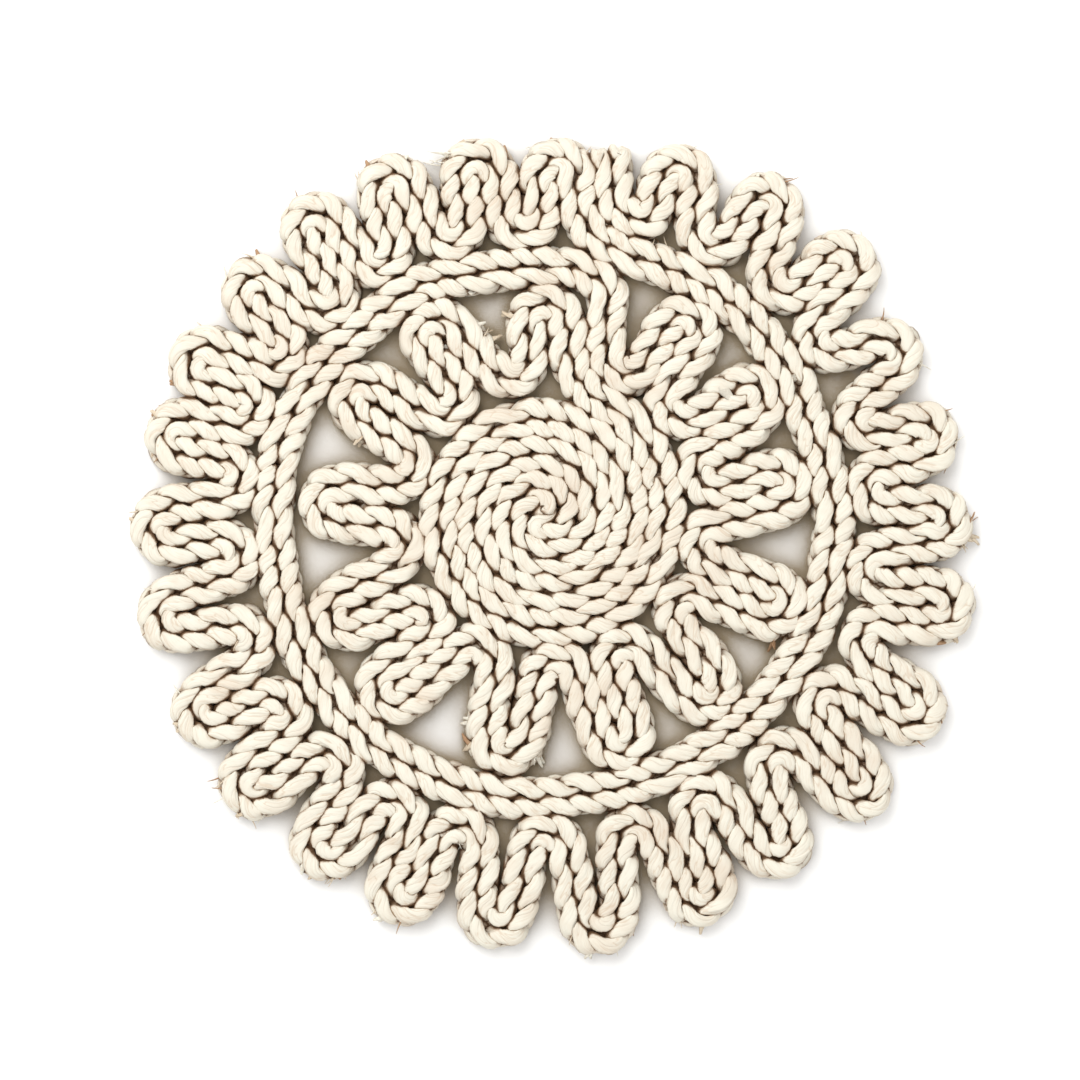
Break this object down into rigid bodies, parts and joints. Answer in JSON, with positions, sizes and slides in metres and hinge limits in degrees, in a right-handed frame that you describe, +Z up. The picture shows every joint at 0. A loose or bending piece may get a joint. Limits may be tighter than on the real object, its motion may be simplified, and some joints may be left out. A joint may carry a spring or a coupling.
{
  "type": "placemat",
  "caption": "Round open-work placemat of one double plait: a coiled middle, two rounds of folded loops and a plain ring between them.",
  "frame": {"origin": "middle of the mat's outline, on the surface that it lies on", "axes": "+Z up through the mat, +Y towards the side where the run of plait ends"},
  "size_m": [0.3764, 0.3646, 0.011],
  "materials": {
    "plait": "matt bleached husk plait"
  },
  "bodies": {
    "root": {"plait_mat": "plait"}
  },
  "joints": []
}
